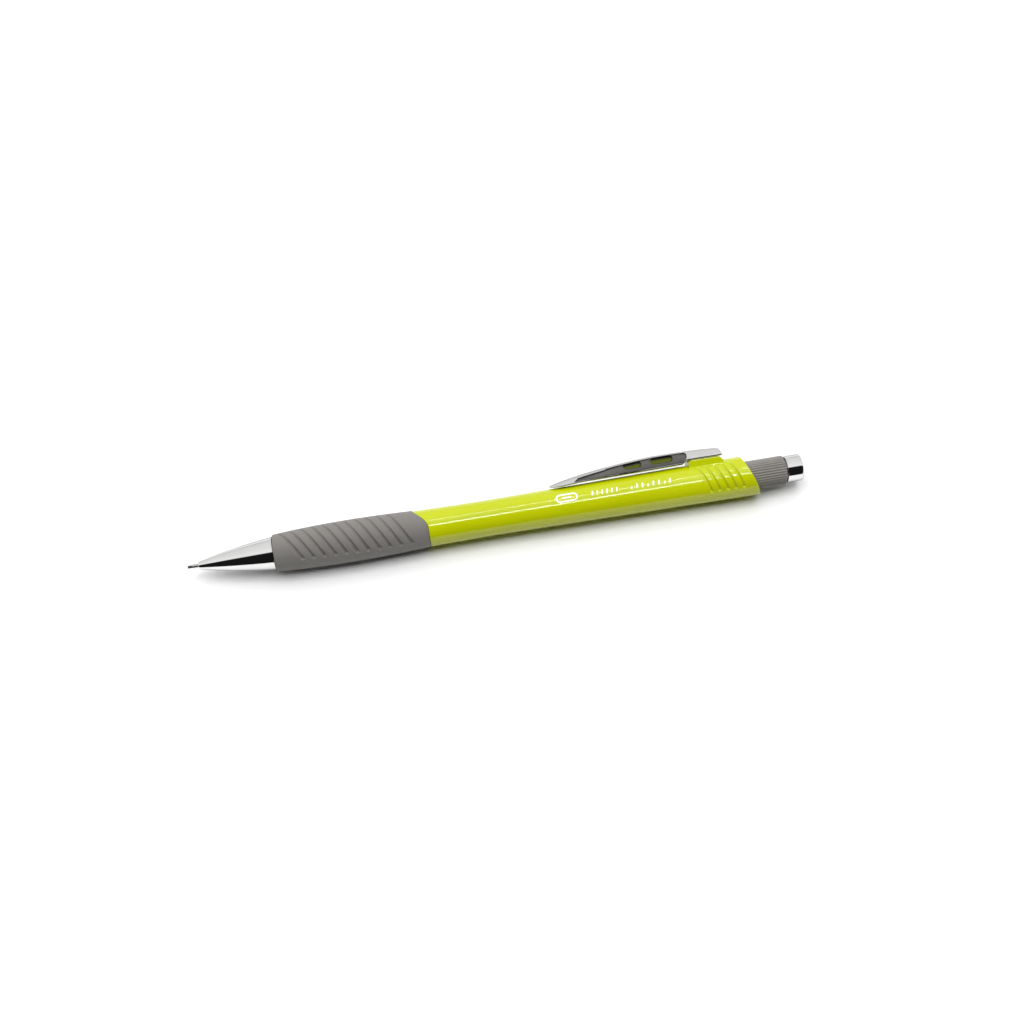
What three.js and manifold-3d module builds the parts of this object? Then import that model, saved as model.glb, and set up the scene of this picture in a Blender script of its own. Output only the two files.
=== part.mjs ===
// A mechanical pencil for 0.7 mm lead, lying on a table with its clip turned up and back.
// Lengths are millimetres. Each piece is made in the pencil's own frame: x runs along the axis from the
// point of the lead to the end of the button, and z points at the middle of the clip.
import * as THREE from "three";
import { mergeVertices } from "three/addons/utils/BufferGeometryUtils.js";
import Module from "manifold-3d";

const wasm = await Module();
wasm.setup();

// Overall sizes
const LENGTH = 144.5;
const ROLL = THREE.MathUtils.degToRad(60); // the clip leans back this far from upright
const SIDES = 24; // sides of a turned body, with a flat one facing down
const FINE_SIDES = 16; // sides of the thin pieces along the axis
const FIT = 0.1; // radial clearance of a sliding or turning fit

// Lead and nose
const LEAD_RADIUS = 0.35;
const LEAD_LENGTH = 60;
const SLEEVE_FRONT = 1.1;
const CONE_FRONT = 2.5;
const CONE_REAR = 19.8;
const CONE_FRONT_RADIUS = 0.88;
const CONE_REAR_RADIUS = 3.88;
const CONE_BOW = 0.3; // how far the cone bulges over a straight line
const SLEEVE_RADIUS = 0.525;
const SLEEVE_REAR = 6.9;
const RETAINER_FRONT = 7.7;
const RETAINER_REAR = 9.5;
const RETAINER_RADIUS = 1.4;
const COLLAR_RADIUS = 3; // of the threaded collar behind the cone
const COLLAR_REAR = 26;
const COLLAR_BORE = 2.55;
const THREAD_DEPTH = 0.12;
const THREAD_RINGS = 5;

// Clutch
const RING_SPACE_RADIUS = 1.95; // the hollow that the clutch ring slides in
const RING_SPACE_FRONT = 13;
const RING_SPACE_REAR = 16.6;
const HEAD_SPACE_RADIUS = 1.62; // the hollow for the chuck's head
const CHUCK_FRONT = 12.4;
const CHUCK_REAR = 34;
const STEM_RADIUS = 1.05;
const STEM_BORE = 0.6;
const JAW_BORE = 0.42;
const CLUTCH_SLEEVE_FRONT = 16.9;
const CLUTCH_SLEEVE_RADIUS = 2.45;
const CLUTCH_SLEEVE_BORE = 2.2;
const SPRING_FRONT = 17.85;
const SPRING_REAR = 29.3;
const SPRING_RADIUS = 1.75; // of the coil's centre line
const WIRE_RADIUS = 0.2;

// Grip and barrel
const GRIP_FRONT = 19.95;
const GRIP_BORE = 3.55;
const GRIP_RADIUS = 4.93;
const TONGUE_TIP = 52.4; // the barrel's lip under the clip line
const TONGUE_DEPTH = 3.1; // how far the lip stands back everywhere else
const TONGUE_ANGLE = THREE.MathUtils.degToRad(85);
const BARREL_BORE = 3.4;
const REAR_BORE = 3.6;
const REAR_BORE_START = 118;
const CUT_MIDDLE = 132; // where the oblique rear cut crosses the axis
const CUT_SLOPE = 0.374;
const BARREL_WAIST = 72;
const WAIST_RADIUS = 4.25;
const BARREL_TAPER = 0.01; // growth of the radius behind the waist

// Clip
const CLIP_TIP = 84.5;
const CLIP_REAR = 125.6;
const CLIP_WIDTH = 5;
const CLIP_BOTTOM = 5.9; // underside of the root block
const BOSS_TOP = 5.8;
const BOSS_FRONT = 117.6;
const BOSS_REAR = 126;
const BOSS_WIDTH = 4.6;
const CHANNEL_WIDTH = 2.6;
const RECESS_DEPTH = 0.6;
const LIP_HEIGHT = 0.3; // of the ledge below each recess, and of its gap to the barrel

// Lead tube and twist eraser
const TUBE_FRONT = 33.5;
const TUBE_REAR = 122;
const TUBE_COLLAR_REAR = 112.8;
const TUBE_BORE = 1.75;
const TUBE_RADIUS = 2.15;
const GUIDE_RADIUS = 2.45;
const GUIDE_BORE = 2;
const TWIST_FRONT = 122.5;
const TWIST_REAR = 140.6;
const TWIST_RADIUS = 3.42;
const TWIST_BORE = 2.55;
const RIBS = 34;
const RIB_DEPTH = 0.2;
const THREAD_PITCH = 5.5; // of the eraser's screw channel
const PEG_X = 125.06; // of the two pegs that ride in the screw channels
const PEG_RADIUS = 0.22;
const ERASER_TRAVEL = 11;
const CUP_FLOOR = 125.5; // what the eraser stands on
const FERRULE_RADIUS = 3.18;

const material = (color, roughness, metalness = 0) =>
  new THREE.MeshStandardMaterial({ color, roughness, metalness });
const finishes = {
  chrome: material(0xd9dadb, 0.12, 1),
  brass: material(0xc9a54f, 0.3, 1),
  steel: material(0xb9bcc0, 0.3, 1),
  graphite: material(0x3a3a3c, 0.6),
  grip: material(0x96928c, 0.8),
  greyPlastic: material(0x8f8b86, 0.6),
  lime: material(0xc8d629, 0.25),
  natural: material(0xe4e6e0, 0.4),
  white: material(0xf2f2ee, 0.9),
  rubber: material(0x2c2c2e, 0.85),
};

const pencil = new THREE.Group();

function addPiece(name, geometry, finish) {
  const mesh = new THREE.Mesh(geometry, finishes[finish].clone());
  mesh.name = name;
  pencil.add(mesh);
}

// A closed mesh as a solid that can be joined and cut.
function solid(geometry) {
  const bare = geometry.clone();
  bare.deleteAttribute("normal");
  bare.deleteAttribute("uv");
  const merged = mergeVertices(bare, 1e-4);
  return new wasm.Manifold(
    new wasm.Mesh({
      numProp: 3,
      vertProperties: new Float32Array(merged.attributes.position.array),
      triVerts: new Uint32Array(merged.index.array),
    }),
  );
}

function geometryOf(made) {
  const mesh = made.getMesh();
  const geometry = new THREE.BufferGeometry();
  geometry.setAttribute("position", new THREE.BufferAttribute(mesh.vertProperties, 3));
  geometry.setIndex(new THREE.BufferAttribute(mesh.triVerts, 1));
  const flat = geometry.toNonIndexed();
  flat.computeVertexNormals();
  return flat;
}

// A body turned about the pencil's axis. The profile is a list of [x, radius] points that runs along the
// outside from front to rear and back through the bore; it closes on itself, or starts and ends at radius 0.
function turned(profile, sides = SIDES) {
  const points = profile.map(([x, radius]) => new THREE.Vector2(radius, x));
  const onAxis = profile[0][1] === 0;
  if (!onAxis) points.push(points[0].clone());
  const lathe = new THREE.LatheGeometry(points, sides, Math.PI / sides, 2 * Math.PI);
  return lathe.rotateZ(-Math.PI / 2);
}

const rod = (front, rear, radius, sides = FINE_SIDES) =>
  turned([[front, 0], [front, radius], [rear, radius], [rear, 0]], sides);

const tube = (front, rear, radius, bore, sides = SIDES) =>
  turned([[front, radius], [rear, radius], [rear, bore], [front, bore]], sides);

// Slides each point along the axis by shift(x, angle from the clip, height towards the clip).
function sheared(geometry, shift) {
  const position = geometry.attributes.position;
  for (let i = 0; i < position.count; i++) {
    const [x, y, z] = [position.getX(i), position.getY(i), position.getZ(i)];
    position.setX(i, x + shift(x, Math.atan2(y, z), z));
  }
  return geometry;
}

// A side outline in x and z, extruded to a width across the clip's plane.
function sidePlate(shape, width, bevel = 0) {
  const depth = width - 2 * bevel;
  const options = {
    depth,
    curveSegments: 6,
    bevelEnabled: bevel > 0,
    bevelThickness: bevel,
    bevelSize: bevel,
    bevelOffset: -bevel,
    bevelSegments: 2,
  };
  return new THREE.ExtrudeGeometry(shape, options).translate(0, 0, -depth / 2).rotateX(Math.PI / 2);
}

function capsuleShape(x, y, length, height) {
  const radius = height / 2;
  const reach = length / 2 - radius;
  const shape = new THREE.Shape();
  shape.absarc(x + reach, y, radius, -Math.PI / 2, Math.PI / 2, false);
  shape.absarc(x - reach, y, radius, Math.PI / 2, (3 * Math.PI) / 2, false);
  return shape;
}

// A point on the surface of a round body, by its angle from the clip.
const around = (x, radius, angle) =>
  new THREE.Vector3(x, radius * Math.sin(angle), radius * Math.cos(angle));

// A round bar swept along a line of points, for a spring or a cutter.
function swept(points, radius, sides = 6) {
  const section = new THREE.Shape(
    Array.from({ length: sides }, (_, i) => {
      const angle = (2 * Math.PI * i) / sides;
      return new THREE.Vector2(radius * Math.cos(angle), radius * Math.sin(angle));
    }),
  );
  const path = new THREE.CatmullRomCurve3(points);
  const geometry = new THREE.ExtrudeGeometry(section, {
    steps: points.length - 1,
    extrudePath: path,
    bevelEnabled: false,
  });
  return geometry;
}

// ---- Lead ----

function makeLeads() {
  addPiece("writing_lead", rod(0, LEAD_LENGTH, LEAD_RADIUS, 12), "graphite");
  const spares = 3;
  const spareFront = 45;
  const spareOffset = 1.15;
  for (let i = 0; i < spares; i++) {
    const lead = rod(spareFront + i, spareFront + i + LEAD_LENGTH, LEAD_RADIUS, 12);
    const place = around(0, spareOffset, (2 * Math.PI * i) / spares);
    addPiece(`spare_lead_${i + 1}`, lead.translate(place.x, place.y, place.z), "graphite");
  }
}

// ---- Nose: cone, guide sleeve, lead retainer ----

function coneRadius(x) {
  const t = (x - CONE_FRONT) / (CONE_REAR - CONE_FRONT);
  const straight = CONE_FRONT_RADIUS + (CONE_REAR_RADIUS - CONE_FRONT_RADIUS) * t;
  return straight + 4 * CONE_BOW * t * (1 - t);
}

function makeNose() {
  const edge = 0.12;
  const wall = SLEEVE_RADIUS + 0.035;
  const threadRoot = COLLAR_RADIUS - THREAD_DEPTH;
  const profile = [[CONE_FRONT, coneRadius(CONE_FRONT) - edge]];
  const steps = 8;
  for (let i = 0; i <= steps; i++) {
    const x = CONE_FRONT + edge + ((CONE_REAR - CONE_FRONT - edge) * i) / steps;
    profile.push([x, coneRadius(x)]);
  }
  profile.push([CONE_REAR, threadRoot]);
  for (let i = 0; i < THREAD_RINGS; i++) {
    const x = CONE_REAR + 1 + i;
    profile.push([x, threadRoot], [x + 0.3, COLLAR_RADIUS], [x + 0.6, threadRoot]);
  }
  profile.push([COLLAR_REAR, threadRoot], [COLLAR_REAR, COLLAR_BORE]);
  profile.push([RING_SPACE_REAR, COLLAR_BORE], [RING_SPACE_REAR, RING_SPACE_RADIUS]);
  profile.push([RING_SPACE_FRONT, RING_SPACE_RADIUS], [RING_SPACE_FRONT, HEAD_SPACE_RADIUS]);
  profile.push([RETAINER_REAR + FIT, HEAD_SPACE_RADIUS], [RETAINER_REAR + FIT, RETAINER_RADIUS + FIT / 2]);
  profile.push([RETAINER_FRONT - FIT, RETAINER_RADIUS + FIT / 2], [RETAINER_FRONT - FIT, wall]);
  profile.push([CONE_FRONT, wall]);
  addPiece("nose_cone", turned(profile), "chrome");

  const leadBore = 0.4;
  addPiece("lead_sleeve", tube(SLEEVE_FRONT, SLEEVE_REAR, SLEEVE_RADIUS, leadBore, FINE_SIDES), "steel");

  const retainer = [
    [RETAINER_FRONT, RETAINER_RADIUS],
    [RETAINER_REAR, RETAINER_RADIUS],
    [RETAINER_REAR, 0.9],
    [RETAINER_REAR - 0.6, leadBore],
    [RETAINER_FRONT, leadBore],
  ];
  addPiece("lead_retainer", turned(retainer, FINE_SIDES), "rubber");
}

// ---- Clutch: chuck, ring, sleeve, spring ----

function makeClutch() {
  const headRadius = 1.5;
  const headRear = CHUCK_FRONT + 4;
  const jawRear = CHUCK_FRONT + 3.1;
  const outline = [
    [CHUCK_FRONT, 1],
    [CHUCK_FRONT + 0.8, headRadius],
    [CHUCK_FRONT + 1.2, headRadius],
    [headRear - 0.4, 1.12],
    [headRear, STEM_RADIUS],
    [CHUCK_REAR, STEM_RADIUS],
    [CHUCK_REAR, STEM_BORE],
    [jawRear, STEM_BORE],
    [jawRear, JAW_BORE],
    [CHUCK_FRONT, JAW_BORE],
  ];
  let chuck = solid(turned(outline));
  const slitLength = 9.6;
  const slitWidth = 0.3;
  const jaws = 3;
  for (let i = 0; i < jaws; i++) {
    const slit = new THREE.BoxGeometry(2 * slitLength, slitWidth, 2).translate(CHUCK_FRONT, 0, 1.2);
    chuck = chuck.subtract(solid(slit.rotateX((2 * Math.PI * i) / jaws)));
  }
  addPiece("chuck", geometryOf(chuck), "brass");

  const ringFront = RING_SPACE_FRONT + 1;
  const ringRear = ringFront + 2;
  const ringRadius = RING_SPACE_RADIUS - FIT;
  const ring = [[ringFront, ringRadius], [ringRear, ringRadius], [ringRear, 1.2], [ringFront, 1.52]];
  addPiece("clutch_ring", turned(ring), "brass");

  const shoulderFront = COLLAR_REAR + 0.4;
  const shoulderRear = shoulderFront + 0.55;
  const seatRear = CLUTCH_SLEEVE_FRONT + 0.6; // the spring stands on this seat
  const sleeve = [
    [CLUTCH_SLEEVE_FRONT, CLUTCH_SLEEVE_RADIUS],
    [shoulderFront, CLUTCH_SLEEVE_RADIUS],
    [shoulderFront, COLLAR_RADIUS],
    [shoulderRear, COLLAR_RADIUS],
    [shoulderRear, CLUTCH_SLEEVE_RADIUS],
    [CHUCK_REAR, CLUTCH_SLEEVE_RADIUS],
    [CHUCK_REAR, CLUTCH_SLEEVE_BORE],
    [seatRear, CLUTCH_SLEEVE_BORE],
    [seatRear, 1.2],
    [CLUTCH_SLEEVE_FRONT, 1.2],
  ];
  addPiece("clutch_sleeve", turned(sleeve), "brass");

  const turns = 6.5;
  const stepsPerTurn = 12;
  const coils = [];
  for (let i = 0; i <= turns * stepsPerTurn; i++) {
    const t = i / (turns * stepsPerTurn);
    const x = SPRING_FRONT + (SPRING_REAR - SPRING_FRONT) * t;
    coils.push(around(x, SPRING_RADIUS, 2 * Math.PI * turns * t));
  }
  addPiece("chuck_spring", swept(coils, WIRE_RADIUS), "steel");

  const connectorFront = SPRING_REAR + 0.3;
  const plugRadius = TUBE_BORE - 0.05;
  const plugRear = TUBE_FRONT + 6.5;
  const connector = [
    [connectorFront, 2.1],
    [TUBE_FRONT - 0.1, 2.1],
    [TUBE_FRONT - 0.1, plugRadius],
    [plugRear, plugRadius],
    [plugRear, 1.5],
    [plugRear - 3.5, STEM_BORE],
    [CHUCK_REAR + 0.2, STEM_BORE],
    [CHUCK_REAR + 0.2, STEM_RADIUS + 0.05],
    [connectorFront, STEM_RADIUS + 0.05],
  ];
  addPiece("tube_connector", turned(connector), "natural");
}

// ---- Grip and the core under it ----

function makeGripCore() {
  const front = GRIP_FRONT + 0.25;
  const stepX = TONGUE_TIP - 0.2;
  const rear = 62;
  const gripSeat = GRIP_BORE - 0.05;
  const barrelSeat = BARREL_BORE - 0.07;
  const bore = 2.6;
  const socketRear = COLLAR_REAR + 1;
  const socketBore = COLLAR_RADIUS + FIT;
  const profile = [
    [front, gripSeat],
    [stepX, gripSeat],
    [stepX, barrelSeat],
    [rear, barrelSeat],
    [rear, bore],
    [socketRear, bore],
    [socketRear, socketBore],
    [front, socketBore],
  ];
  addPiece("grip_core", turned(profile), "greyPlastic");
}

// How far the lip between grip and barrel stands back at an angle from the clip.
function lipShift(angle) {
  const turn = Math.min(Math.abs(angle) / TONGUE_ANGLE, 1);
  return TONGUE_DEPTH * Math.sin((turn * Math.PI) / 2) ** 2;
}

// A groove that winds back along the grip or barrel from near the clip to its far end, on one side.
function groove(start, end, radiusAt, cutter, rise, side) {
  const steps = 6;
  const points = [];
  for (let i = 0; i <= steps; i++) {
    const t = i / steps;
    const x = start.x + (end.x - start.x) * t;
    const angle = start.angle + (end.angle - start.angle) * t;
    const depth = rise * Math.cos((t * Math.PI) / 2);
    points.push(around(x, radiusAt(x) + depth, side * angle));
  }
  return solid(swept(points, cutter));
}

function gripRadius(x) {
  const crest = 37;
  const run = x < crest ? crest - GRIP_FRONT : 55.4 - crest;
  const drop = x < crest ? GRIP_RADIUS - 4.3 : GRIP_RADIUS - 4.42;
  return GRIP_RADIUS - drop * ((x - crest) / run) ** 2;
}

function makeGrip() {
  const rear = TONGUE_TIP - FIT;
  const profile = [[GRIP_FRONT, 4], [GRIP_FRONT + 0.4, gripRadius(GRIP_FRONT + 0.4)]];
  for (let x = 22; x < rear; x += 3) {
    profile.push([x, gripRadius(x)]);
  }
  profile.push([rear, gripRadius(rear + TONGUE_DEPTH)], [rear, GRIP_BORE], [GRIP_FRONT, GRIP_BORE]);
  const shell = sheared(turned(profile), (x, angle) => (x < rear - 0.01 ? 0 : lipShift(angle)));
  let grip = solid(shell);
  const grooves = 11;
  const pitch = 2.51;
  for (let i = 0; i < grooves; i++) {
    const start = { x: 21.6 + pitch * i, angle: THREE.MathUtils.degToRad(12) };
    const end = { x: 26.3 + pitch * i, angle: THREE.MathUtils.degToRad(112 + i) };
    for (const side of [-1, 1]) {
      grip = grip.subtract(groove(start, end, gripRadius, 0.34, 0.3, side));
    }
  }
  addPiece("grip", geometryOf(grip), "grip");
}

// ---- Barrel ----

function barrelRadius(x) {
  if (x > BARREL_WAIST) return WAIST_RADIUS + BARREL_TAPER * (x - BARREL_WAIST);
  const lipRadius = 4.42;
  const t = (BARREL_WAIST - x) / (BARREL_WAIST - TONGUE_TIP - TONGUE_DEPTH);
  return WAIST_RADIUS + (lipRadius - WAIST_RADIUS) * Math.min(t, 1) ** 2;
}

function barrelShell() {
  const profile = [[TONGUE_TIP, barrelRadius(TONGUE_TIP)]];
  for (const x of [59, 62, 66, BARREL_WAIST, 90, 110]) {
    profile.push([x, barrelRadius(x)]);
  }
  profile.push([CUT_MIDDLE - 0.3, barrelRadius(CUT_MIDDLE)], [CUT_MIDDLE, barrelRadius(CUT_MIDDLE) - 0.3]);
  profile.push([CUT_MIDDLE, REAR_BORE], [REAR_BORE_START, REAR_BORE], [REAR_BORE_START, BARREL_BORE]);
  profile.push([TONGUE_TIP, BARREL_BORE]);
  return sheared(turned(profile), (x, angle, z) => {
    if (x < TONGUE_TIP + 0.01) return lipShift(angle);
    return x > CUT_MIDDLE - 0.4 ? -CUT_SLOPE * z : 0;
  });
}

function makeBarrel() {
  const foot = 4.2; // the boss starts inside the barrel's wall
  const corner = 0.8;
  const boss = new THREE.Shape();
  boss.moveTo(BOSS_FRONT, foot);
  boss.lineTo(BOSS_REAR + 1.2, foot);
  boss.lineTo(BOSS_REAR, BOSS_TOP);
  boss.lineTo(BOSS_FRONT + corner, BOSS_TOP);
  boss.quadraticCurveTo(BOSS_FRONT, BOSS_TOP, BOSS_FRONT, BOSS_TOP - corner);
  let barrel = solid(barrelShell()).add(solid(sidePlate(boss, BOSS_WIDTH, 0.3)));
  const grooves = 5;
  const pitch = 1.92;
  for (let i = 0; i < grooves; i++) {
    const start = { x: 119.6 + pitch * i, angle: THREE.MathUtils.degToRad(38) };
    const end = { x: 121.8 + pitch * i, angle: THREE.MathUtils.degToRad(113) };
    for (const side of [-1, 1]) {
      barrel = barrel.subtract(groove(start, end, barrelRadius, 0.28, 0.12, side));
    }
  }
  addPiece("barrel", geometryOf(barrel), "lime");
}

// ---- Clip ----

// Where the clip's slanted rear end is, at a height over the axis.
const clipRear = (height) => CLIP_REAR - CUT_SLOPE * (height - CLIP_BOTTOM);

function clipOutline() {
  const shape = new THREE.Shape();
  const gap = LIP_HEIGHT;
  shape.moveTo(CLIP_TIP + 0.9, barrelRadius(CLIP_TIP) + 0.25);
  shape.lineTo(87.6, barrelRadius(87.6) + 0.12);
  shape.lineTo(92.5, barrelRadius(92.5) + gap);
  shape.lineTo(116.2, barrelRadius(116.2) + gap);
  shape.lineTo(117.3, CLIP_BOTTOM);
  shape.lineTo(clipRear(CLIP_BOTTOM) + 0.4, CLIP_BOTTOM);
  shape.lineTo(clipRear(7.6), 7.6);
  shape.quadraticCurveTo(118, 8.15, 110, 8.05);
  shape.quadraticCurveTo(96, 7.5, CLIP_TIP + 0.2, 5.1);
  return shape;
}

// The shallow pocket in each flank, which leaves a spine above it and a ledge below it.
function recessOutline() {
  const shape = new THREE.Shape();
  const ledge = 2 * LIP_HEIGHT;
  shape.moveTo(91, barrelRadius(91) + ledge);
  shape.lineTo(117, barrelRadius(117) + ledge);
  shape.quadraticCurveTo(118.4, 5.6, 118.4, 6.7);
  shape.quadraticCurveTo(118.4, 7.75, 117, 7.8);
  shape.quadraticCurveTo(113, 7.95, 109, 7.87);
  shape.quadraticCurveTo(99, 7.3, 93, 6.15);
  shape.quadraticCurveTo(92.2, 5.2, 91, barrelRadius(91) + ledge);
  return shape;
}

function channelOutline() {
  const shape = new THREE.Shape();
  shape.moveTo(91.5, 4);
  shape.lineTo(116.9, 4);
  shape.lineTo(116.9, 7.2);
  shape.quadraticCurveTo(112, 7.4, 108, 7.25);
  shape.quadraticCurveTo(100, 6.6, 91.5, 5.4);
  return shape;
}

function coreOutline() {
  const shape = new THREE.Shape();
  shape.moveTo(100, 5.85);
  shape.lineTo(116.5, 6.2);
  shape.lineTo(116.5, 7.08);
  shape.quadraticCurveTo(112, 7.25, 108, 7.1);
  shape.quadraticCurveTo(103, 6.7, 100, 6.25);
  return shape;
}

function clipPlan() {
  const half = CLIP_WIDTH / 2;
  const shape = new THREE.Shape();
  shape.moveTo(CLIP_REAR + 2, -half);
  shape.lineTo(CLIP_REAR + 2, half);
  shape.lineTo(CLIP_TIP + 5, half);
  shape.quadraticCurveTo(CLIP_TIP, half, CLIP_TIP, 0);
  shape.quadraticCurveTo(CLIP_TIP, -half, CLIP_TIP + 5, -half);
  return shape;
}

function makeClip() {
  const windows = [
    { x: 104.6, z: 6.85, length: 4.2 },
    { x: 111.6, z: 7.0, length: 5.2 },
  ];
  const windowHeight = 1.2;
  const planHeight = 20;
  const plan = new THREE.ExtrudeGeometry(clipPlan(), { depth: planHeight, bevelEnabled: false });
  let clip = solid(sidePlate(clipOutline(), CLIP_WIDTH, 0.4)).intersect(solid(plan));
  const pocketOffset = (CLIP_WIDTH + CLIP_WIDTH) / 2 - RECESS_DEPTH;
  for (const side of [-1, 1]) {
    const pocket = sidePlate(recessOutline(), CLIP_WIDTH).translate(0, side * pocketOffset, 0);
    clip = clip.subtract(solid(pocket));
  }
  clip = clip.subtract(solid(sidePlate(channelOutline(), CHANNEL_WIDTH)));
  for (const { x, z, length } of windows) {
    const oval = capsuleShape(x, z, length, windowHeight);
    clip = clip.subtract(solid(sidePlate(oval, 2 * CLIP_WIDTH)));
  }
  addPiece("clip", geometryOf(clip), "chrome");
  addPiece("clip_core", sidePlate(coreOutline(), CHANNEL_WIDTH - 2 * FIT), "lime");
}

// ---- Lead tube and its rear bush ----

function makeTube() {
  const collarFront = TUBE_COLLAR_REAR - 1.4;
  const collarRadius = 3;
  const profile = [
    [TUBE_FRONT, TUBE_RADIUS],
    [collarFront, TUBE_RADIUS],
    [collarFront, collarRadius],
    [TUBE_COLLAR_REAR, collarRadius],
    [TUBE_COLLAR_REAR, TUBE_RADIUS],
    [TUBE_REAR, TUBE_RADIUS],
    [TUBE_REAR, TUBE_BORE],
    [TUBE_FRONT, TUBE_BORE],
  ];
  addPiece("lead_tube", turned(profile), "natural");
  const bushFront = TUBE_COLLAR_REAR + FIT;
  const bushRear = 117.5;
  addPiece("rear_bush", tube(bushFront, bushRear, BARREL_BORE - 0.07, TUBE_RADIUS + FIT), "natural");
}

// ---- Twist eraser: guide, holder, eraser, knurled sleeve, end ring ----

function makeGuide() {
  const plugFront = 114;
  const plugRadius = TUBE_BORE - FIT;
  const shoulder = TUBE_REAR + 0.2;
  const floor = shoulder + 1;
  const rear = 137.4;
  const ringX = 117.5;
  const grooveRadius = 1.25;
  const grooveHalf = 0.3;
  const profile = [
    [plugFront, 0],
    [plugFront, plugRadius],
    [ringX - grooveHalf, plugRadius],
    [ringX - grooveHalf, grooveRadius],
    [ringX + grooveHalf, grooveRadius],
    [ringX + grooveHalf, plugRadius],
    [shoulder, plugRadius],
    [shoulder, GUIDE_RADIUS],
    [rear, GUIDE_RADIUS],
    [rear, GUIDE_BORE],
    [floor, GUIDE_BORE],
    [floor, 0],
  ];
  const slotFront = PEG_X - 0.4;
  const slotRear = PEG_X + ERASER_TRAVEL + 0.4;
  const slot = new THREE.BoxGeometry(slotRear - slotFront, 0.8, 3 * GUIDE_RADIUS);
  slot.translate((slotFront + slotRear) / 2, 0, 0);
  const guide = solid(turned(profile)).subtract(solid(slot));
  addPiece("slotted_guide", geometryOf(guide), "natural");

  const ringRadius = 0.2;
  const ringCentre = 1.5;
  const ring = Array.from({ length: 8 }, (_, i) => {
    const angle = (2 * Math.PI * (i + 0.5)) / 8;
    return [ringX + ringRadius * Math.cos(angle), ringCentre - ringRadius * Math.sin(angle)];
  });
  addPiece("friction_ring", turned(ring, FINE_SIDES), "rubber");
}

function makeEraser() {
  const holderRadius = GUIDE_BORE - 0.07;
  const cupBore = 1.8;
  const cup = [
    [CUP_FLOOR - 1, 0],
    [CUP_FLOOR - 1, holderRadius],
    [CUP_FLOOR + 4, holderRadius],
    [CUP_FLOOR + 4, cupBore],
    [CUP_FLOOR, cupBore],
    [CUP_FLOOR, 0],
  ];
  const pegReach = 2.75;
  const peg = new THREE.CylinderGeometry(PEG_RADIUS, PEG_RADIUS, 2 * pegReach, 8).rotateX(Math.PI / 2);
  const holder = solid(turned(cup)).add(solid(peg.translate(PEG_X, 0, 0)));
  addPiece("eraser_holder", geometryOf(holder), "greyPlastic");

  const end = 144;
  const radius = cupBore - 0.05;
  const stick = [
    [CUP_FLOOR + 0.1, 0],
    [CUP_FLOOR + 0.1, radius],
    [end - 0.4, radius],
    [end, radius - 0.5],
    [end, 0],
  ];
  addPiece("eraser", turned(stick), "white");
}

function ribbedPrism(front, rear) {
  const shape = new THREE.Shape(
    Array.from({ length: 2 * RIBS }, (_, i) => {
      const angle = (Math.PI * i) / RIBS;
      const radius = i % 2 ? TWIST_RADIUS : TWIST_RADIUS - RIB_DEPTH;
      return new THREE.Vector2(radius * Math.cos(angle), radius * Math.sin(angle));
    }),
  );
  const prism = new THREE.ExtrudeGeometry(shape, { depth: rear - front, bevelEnabled: false });
  return prism.rotateY(Math.PI / 2).translate(front, 0, 0);
}

// One of the two screw channels in the sleeve's bore, which carry the holder's pegs.
function screwChannel(startAngle) {
  const stepsPerTurn = 14;
  const spareSteps = 2; // the channel runs a little past the pegs at both ends
  const turns = ERASER_TRAVEL / THREAD_PITCH;
  const points = [];
  for (let i = -spareSteps; i <= turns * stepsPerTurn + spareSteps; i++) {
    const turn = i / stepsPerTurn;
    points.push(around(PEG_X + THREAD_PITCH * turn, TWIST_BORE - 0.05, startAngle + 2 * Math.PI * turn));
  }
  return solid(swept(points, 0.44));
}

function makeTwistSleeve() {
  const chamfer = 0.45;
  const body = [
    [TWIST_FRONT, TWIST_RADIUS + 0.03],
    [TWIST_REAR - chamfer, TWIST_RADIUS + 0.03],
    [TWIST_REAR, TWIST_RADIUS - chamfer],
    [TWIST_REAR, TWIST_BORE],
    [TWIST_FRONT, TWIST_BORE],
  ];
  let sleeve = solid(turned(body)).intersect(solid(ribbedPrism(TWIST_FRONT - 1, TWIST_REAR + 1)));
  for (const startAngle of [0, Math.PI]) {
    sleeve = sleeve.subtract(screwChannel(startAngle));
  }
  addPiece("twist_sleeve", geometryOf(sleeve), "greyPlastic");
}

function makeEndRing() {
  const front = TWIST_REAR + FIT;
  const spigotFront = front - 2.7;
  const spigotRadius = TWIST_BORE - 0.05;
  const opening = 2.05;
  const edge = 0.25;
  const ferrule = [
    [spigotFront, spigotRadius],
    [front, spigotRadius],
    [front, FERRULE_RADIUS - edge],
    [front + edge, FERRULE_RADIUS],
    [LENGTH - 0.55, FERRULE_RADIUS],
    [LENGTH - 0.16, FERRULE_RADIUS - 0.16],
    [LENGTH, FERRULE_RADIUS - 0.5],
    [LENGTH, opening],
    [spigotFront, opening],
  ];
  addPiece("end_ring", turned(ferrule), "chrome");
}

makeLeads();
makeNose();
makeClutch();
makeGripCore();
makeGrip();
makeBarrel();
makeClip();
makeTube();
makeGuide();
makeEraser();
makeTwistSleeve();
makeEndRing();

// The pencil is rolled about its axis, and its bounding box is set down on the origin by its bottom centre.
pencil.rotation.x = -ROLL;
const model = new THREE.Group();
model.add(pencil);
model.updateMatrixWorld(true);
const box = new THREE.Box3().setFromObject(pencil, true);
const centre = box.getCenter(new THREE.Vector3());
pencil.position.set(-centre.x, -centre.y, -box.min.z);

export default model;
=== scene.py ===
"""A mechanical pencil lying on a white table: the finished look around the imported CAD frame."""
import math

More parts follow.
